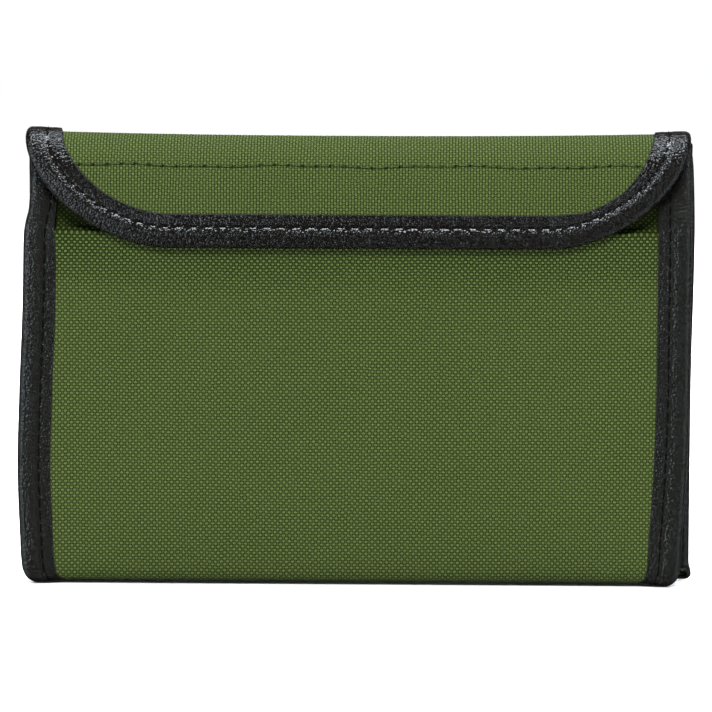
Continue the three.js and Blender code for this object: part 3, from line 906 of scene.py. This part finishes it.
def weave_tone(tree, tone, s, t, on_body, distance):
    """The weave's tone with its check of painted shading: harder on the flap, with painted shade in the gaps
    from the crease down and over the cloth above the crease.
    """
    # A check of painted light and shade that brightens the set of threads painted as lit.
    waves = [math_node(tree, "SINE", math_node(tree, "MULTIPLY", count, math.pi)) for count in (s, t)]
    check = math_node(tree, "MULTIPLY", *waves)
    check_share = math_node(tree, "MULTIPLY_ADD", on_body, FLAP_CHECK_SHADE - BODY_CHECK_SHADE, -FLAP_CHECK_SHADE)
    tone = math_node(tree, "MULTIPLY_ADD", check, check_share, tone)
    harder = math_node(tree, "MULTIPLY_ADD", on_body, -FLAP_CONTRAST, FLAP_CONTRAST)
    from_middle = math_node(tree, "SUBTRACT", tone, FLAP_MIDDLE_TONE)
    tone = math_node(tree, "MULTIPLY_ADD", from_middle, harder, tone)
    # Painted shade below the flap: the gaps between the threads darken from the crease down.
    under_flap_gaps = ramp(tree, distance, distance_of("crease"), distance_of("front high"), -UNDER_FLAP_SHADE, 0.0)
    tone = math_node(tree, "MULTIPLY_ADD", math_node(tree, "SUBTRACT", 1.0, tone), under_flap_gaps, tone)
    # Painted shade on the cloth that falls back above the crease, under the flap.
    folded = ramp(tree, distance, distance_of("crease back"), distance_of("crease"), FALL_SHADE, 1.0)
    return math_node(tree, "MULTIPLY", math_node(tree, "MAXIMUM", tone, 0.0), folded)


def cloth_material(name, light, other, dark):
    """Coarse plain weave: two sets of threads that pass over and under each other, with the weave's light
    and shade painted into its colour.
    """
    made, tree, shader = material(name)
    place = flat_place(tree)
    drift = noise(tree, stretched(tree, place, *DRIFT_SIZE))
    x, distance = split_place(tree, place)
    shift = math_node(tree, "MULTIPLY_ADD", drift, DRIFT, -DRIFT / 2)
    s = math_node(tree, "MULTIPLY_ADD", x, 1 / THREAD_ACROSS, shift)
    t = math_node(tree, "SUBTRACT", math_node(tree, "DIVIDE", distance, THREAD_ALONG), shift)
    roof = distance_of("roof")
    on_body = ramp(tree, distance, roof - FLAP_WEAVE_FROM, roof - FLAP_WEAVE_TO, 1.0, 0.0)
    lean = math_node(tree, "MULTIPLY_ADD", on_body, -BODY_LEAN - FLAP_LEAN, FLAP_LEAN)
    warp, warp_side = weave_thread(tree, s, t, THREAD_WAVE)
    weft, weft_side = weave_thread(tree, t, s, -THREAD_WAVE)
    warp = math_node(tree, "ADD", warp, lean)
    weft = math_node(tree, "SUBTRACT", weft, lean)
    height = math_node(tree, "MAXIMUM", warp, weft)
    warp_over = ramp(tree, math_node(tree, "SUBTRACT", warp, weft), *OVER_RAMP)
    # Painted light: the threads across are painted as lit on the body and those along on the flap, by how
    # light falls on each.
    lit_set = math_node(tree, "ABSOLUTE", math_node(tree, "SUBTRACT", warp_over, on_body))
    more = math_node(tree, "SUBTRACT", warp_side, weft_side)
    ridge = math_node(tree, "MULTIPLY_ADD", warp_over, more, weft_side)
    # Painted shade: the tone is lowest between the threads and rises over the round of the thread on top.
    tone = math_node(tree, "MULTIPLY", ramp(tree, height, *WEAVE_RAMP), uneven_tone(tree, place))
    tone = math_node(tree, "MULTIPLY", tone, ramp(tree, ridge, *RIDGE_RAMP))
    tone = weave_tone(tree, tone, s, t, on_body, distance)
    threads = mix_colour(tree, tone, dark, mix_colour(tree, lit_set, other, light))
    uneven = noise(tree, stretched(tree, place, *SEAM_UNEVEN_SIZE))
    sewn = mix_colour(tree, seam_shade(tree, x, distance, uneven), BLACK, threads)
    tree.links.new(sewn, shader.inputs["Base Color"])
    shader.inputs["Roughness"].default_value = CLOTH_ROUGHNESS
    shader.inputs["Specular IOR Level"].default_value = MATT_SPECULAR
    tree.links.new(bump(tree, height, WEAVE_DEPTH), shader.inputs["Normal"])
    return made


def grain_material(name, colour, worn, roughness, smooth=1.0):
    """Black grained tape: small pebbles and fine puckers. smooth is the grain left beside the stitches."""
    made, tree, shader = material(name)
    place = flat_place(tree)
    cells = tree.nodes.new("ShaderNodeTexVoronoi")
    cells.feature = "SMOOTH_F1"
    tree.links.new(stretched(tree, place, *PEBBLE_SIZE), cells.inputs["Vector"])
    cells.inputs["Scale"].default_value = 1.0
    cells.inputs["Smoothness"].default_value = PEBBLE_SMOOTHNESS
    pebble = math_node(tree, "SUBTRACT", 1.0, cells.outputs["Distance"])
    fine = noise(tree, stretched(tree, place, *FINE_SIZE), MORE_DETAIL)
    pucker = noise(tree, stretched(tree, place, *PUCKER_SIZE))
    patch = noise(tree, stretched(tree, place, *PATCH_SIZE))
    height = math_node(tree, "MULTIPLY_ADD", fine, FINE_SHARE, pebble)
    across = split_place(tree, place)[1]
    from_stitch = math_node(tree, "ABSOLUTE", math_node(tree, "SUBTRACT", across, SMOOTH_PLACE))
    strength = ramp(tree, from_stitch, SMOOTH_FROM, SMOOTH_TO, smooth, 1.0)
    wavy = bump(tree, pucker, PUCKER_DEPTH, strength=strength)
    tree.links.new(bump(tree, height, GRAIN_DEPTH, wavy, strength), shader.inputs["Normal"])
    high = ramp(tree, pebble, *PEBBLE_TOP_RAMP)
    tree.links.new(mix_colour(tree, high, colour, worn), shader.inputs["Base Color"])
    patchy = ramp(tree, patch, *PATCH_RAMP, roughness - PATCH_GLOSSIER, roughness + PATCH_ROUGHER)
    edge = ramp(tree, across, CUT_EDGE_FROM, CUT_EDGE_TO, CUT_EDGE_ROUGHNESS, 0.0)
    tree.links.new(math_node(tree, "ADD", patchy, edge), shader.inputs["Roughness"])
    shader.inputs["Specular IOR Level"].default_value = TAPE_SPECULAR
    return made


def thread_material(name, colour, roughness):
    """Sewing thread, whose twist shows as fine rings, with painted shade between them."""
    made, tree, shader = material(name)
    along = split_place(tree, flat_place(tree))[0]
    twist = math_node(tree, "SINE", math_node(tree, "MULTIPLY", along, TWISTS * math.pi))
    tree.links.new(bump(tree, twist, TWIST_DEPTH), shader.inputs["Normal"])
    dark = tuple(TWIST_SHADE * part for part in colour[:3]) + (1.0,)
    tree.links.new(mix_colour(tree, ramp(tree, twist, -1, 1), dark, colour), shader.inputs["Base Color"])
    shader.inputs["Roughness"].default_value = roughness
    shader.inputs["Specular IOR Level"].default_value = MATT_SPECULAR
    return made


cloth = cloth_material("olive_weave", CLOTH_LIGHT, CLOTH_OTHER, CLOTH_DARK)
grain = grain_material("black_grain", TAPE_DARK, TAPE_WORN, FLAP_TAPE_ROUGHNESS, SMOOTH_GRAIN)
front_grain = grain_material("dull_grain", TAPE_DULL, TAPE_WORN, FRONT_TAPE_ROUGHNESS, SMOOTH_GRAIN)
side_grain = grain_material("side_grain", TAPE_DARK, TAPE_WORN, GUSSET_ROUGHNESS)
green_thread = thread_material("green_thread", GREEN_THREAD, GREEN_THREAD_ROUGHNESS)
black_thread = thread_material("black_thread", BLACK_THREAD, BLACK_THREAD_ROUGHNESS)


def finish_piece(piece, look, slot, *nodes):
    """Gives a piece its look and body, and the nodes that it stands for. slot is not used."""
    piece.data.materials.append(look)
    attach(piece, "root")
    if nodes:
        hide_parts(*nodes)
    return piece


left_path = front_path(-1)
right_path = front_path(1)
round_path = flap_path()
panel = finish_piece(body_panel(), cloth, "cloth", "body_panel")
trims = [
    finish_piece(binding("front_tape_left", left_path), front_grain, "tape", "front_binding_left"),
    finish_piece(binding("front_tape_right", right_path), front_grain, "tape", "front_binding_right"),
    finish_piece(binding("back_flap_tape", round_path), grain, "tape", "back_flap_binding"),
    finish_piece(tape_stitches("stitches_left", left_path), black_thread, "tape"),
    finish_piece(tape_stitches("stitches_right", right_path), black_thread, "tape"),
    finish_piece(tape_stitches("stitches_flap", round_path), black_thread, "tape"),
    finish_piece(flap_seam(), green_thread, "cloth"),
]
for side, name in ((-1, "gusset_left"), (1, "gusset_right")):
    side_piece = finish_piece(gusset("side_" + name, side), side_grain, "gusset", name)


def studio_piece(name, points, faces, look):
    """A part of the studio, which the object doesn't mirror."""
    mesh = bpy.data.meshes.new(name)
    mesh.from_pydata(points.tolist(), [], faces)
    mesh.materials.append(look)
    piece = bpy.data.objects.new(name, mesh)
    piece.visible_glossy = False
    bpy.context.scene.collection.objects.link(piece)


def floor_and_wall():
    """A round pale floor, and a white wall far round it that is the background of low views."""
    floor_look, _, floor_shader = material("pale_floor")
    floor_shader.inputs["Base Color"].default_value = FLOOR_COLOUR
    floor_shader.inputs["Roughness"].default_value = FLOOR_ROUGHNESS
    wall_look, _, wall_shader = material("pale_wall")
    wall_shader.inputs["Base Color"].default_value = BLACK
    wall_shader.inputs["Emission Color"].default_value = WHITE
    wall_shader.inputs["Emission Strength"].default_value = WALL_GLOW
    turns = np.arange(STUDIO_SIDES) * 2 * math.pi / STUDIO_SIDES
    edge = STUDIO_RADIUS * np.stack([np.cos(turns), np.sin(turns), 0 * turns], axis=-1)
    wall = np.concatenate([edge, edge + np.array([0, 0, WALL_HEIGHT])])
    low, high = np.arange(2 * STUDIO_SIDES).reshape(2, STUDIO_SIDES)
    wall_faces = np.stack([low, np.roll(low, -1), np.roll(high, -1), high], axis=-1)
    studio_piece("floor", edge, [low.tolist()], floor_look)
    studio_piece("wall", wall, wall_faces.tolist(), wall_look)


def add_light(name, data, way):
    """Puts a light in the scene, which shines the way given."""
    light = bpy.data.objects.new(name, data)
    light.rotation_euler = way.to_track_quat("-Z", "Y").to_euler()
    bpy.context.scene.collection.objects.link(light)
    return light


def sun_light():
    """The soft main light, which doesn't show in the gloss."""
    data = bpy.data.lights.new("key", "SUN")
    data.energy = SUN_POWER
    data.angle = SUN_ANGLE
    add_light("key", data, Vector(SUN_WAY)).visible_glossy = False


def area_light(name, place, aim_height, size, power, colour, on_matt, in_gloss):
    """A soft rectangular light that faces a point on the bag's axis."""
    data = bpy.data.lights.new(name, "AREA")
    data.shape = "RECTANGLE"
    data.size, data.size_y = size
    data.energy = power
    data.color = colour
    light = add_light(name, data, Vector((0, 0, aim_height)) - Vector(place))
    light.location = place
    light.visible_diffuse = on_matt
    light.visible_glossy = in_gloss


def sky():
    """A dim sky with a glow behind the bag, and one at both sides under the floor that only gloss shows."""
    world = bpy.data.worlds.new("studio")
    world.use_nodes = True
    tree = world.node_tree
    background = tree.nodes["Background"]
    direction = tree.nodes.new("ShaderNodeTexCoord")
    parts = tree.nodes.new("ShaderNodeSeparateXYZ")
    tree.links.new(direction.outputs["Generated"], parts.inputs[0])
    x, y, z = parts.outputs
    band = ramp(tree, math_node(tree, "ABSOLUTE", z), *HORIZON_RAMP)
    glow = math_node(tree, "MULTIPLY", band, ramp(tree, y, *BEHIND_RAMP))
    sides = ramp(tree, math_node(tree, "ABSOLUTE", x), *SIDES_RAMP)
    abreast = math_node(tree, "MULTIPLY", ramp(tree, y, *AHEAD_RAMP), ramp(tree, y, *BESIDE_RAMP))
    low = math_node(tree, "MULTIPLY", ramp(tree, z, *BELOW_RAMP), abreast)
    tree.links.new(mix_colour(tree, low, WHITE, LOW_TINT), background.inputs["Color"])
    tree.links.new(math_node(tree, "MULTIPLY_ADD", sides, low, glow), background.inputs["Strength"])
    bpy.context.scene.world = world


def add_camera():
    """The camera at the photograph's viewing angle."""
    data = bpy.data.cameras.new("camera")
    data.lens = CAMERA_LENS
    data.clip_end = CAMERA_REACH
    camera = bpy.data.objects.new("camera", data)
    bpy.context.scene.collection.objects.link(camera)
    level = math.cos(CAMERA_ELEVATION)
    ahead = -math.cos(CAMERA_AZIMUTH) * level
    away = Vector((math.sin(CAMERA_AZIMUTH) * level, ahead, math.sin(CAMERA_ELEVATION)))
    facing = (-away).to_track_quat("-Z", "Y").to_matrix().to_4x4()
    turned = facing @ Matrix.Rotation(CAMERA_ROLL, 4, "Z")
    camera.matrix_world = Matrix.Translation(CAMERA_AIM + away * CAMERA_DISTANCE) @ turned
    bpy.context.scene.camera = camera


floor_and_wall()
sun_light()
for light_name, values in AREA_LIGHTS.items():
    area_light(light_name, *values)
sky()
bpy.context.scene.view_settings.view_transform = "Standard"
add_camera()
